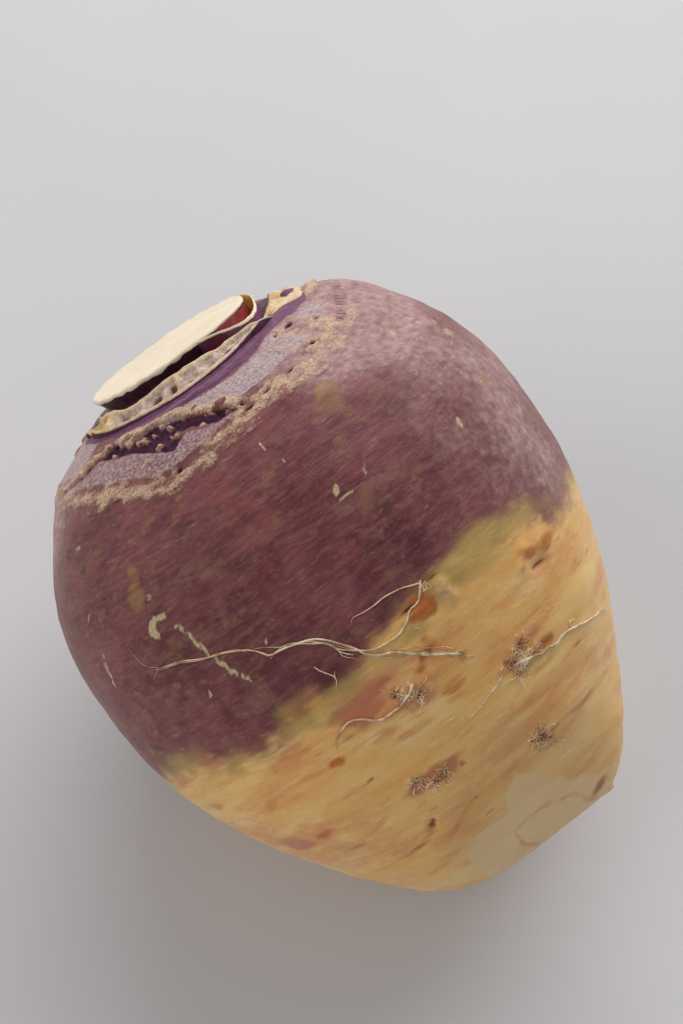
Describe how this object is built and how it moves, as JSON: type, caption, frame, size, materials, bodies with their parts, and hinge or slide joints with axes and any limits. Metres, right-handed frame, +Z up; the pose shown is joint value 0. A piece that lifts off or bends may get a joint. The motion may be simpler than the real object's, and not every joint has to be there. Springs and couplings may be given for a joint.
{
  "type": "rutabaga",
  "caption": "Purple-topped cream rutabaga lying on its side on a small flat spot, leaf bases cut at the crown, tap root sliced off, dry rootlets.",
  "frame": {"origin": "centre of the small flat spot of skin that the root rests on", "axes": "+Z up, away from the surface it rests on; +X along the long side, from the crown towards the root end; the visible front side faces -Y"},
  "size_m": [0.1495, 0.1262, 0.1294],
  "materials": {
    "skin": "smooth waxy skin, purple on the upper half and cream below, with corky scars",
    "dry_leaf": "dry papery leaf base with a thin pale rim",
    "stalk_flesh": "fresh cut stalk, cream rim and red-purple inner wall",
    "root_fibre": "dry fibrous rootlet, dull"
  },
  "bodies": {
    "root": {"root": "skin", "leaf_base_front": "dry_leaf", "leaf_base_upper": "dry_leaf", "leaf_stalk_stub": "stalk_flesh", "rootlet_long": "root_fibre", "rootlet_companion": "root_fibre", "rootlet_upper": "root_fibre", "rootlet_hooked": "root_fibre", "rootlet_side": "root_fibre", "rootlet_fine": "root_fibre"}
  },
  "joints": []
}
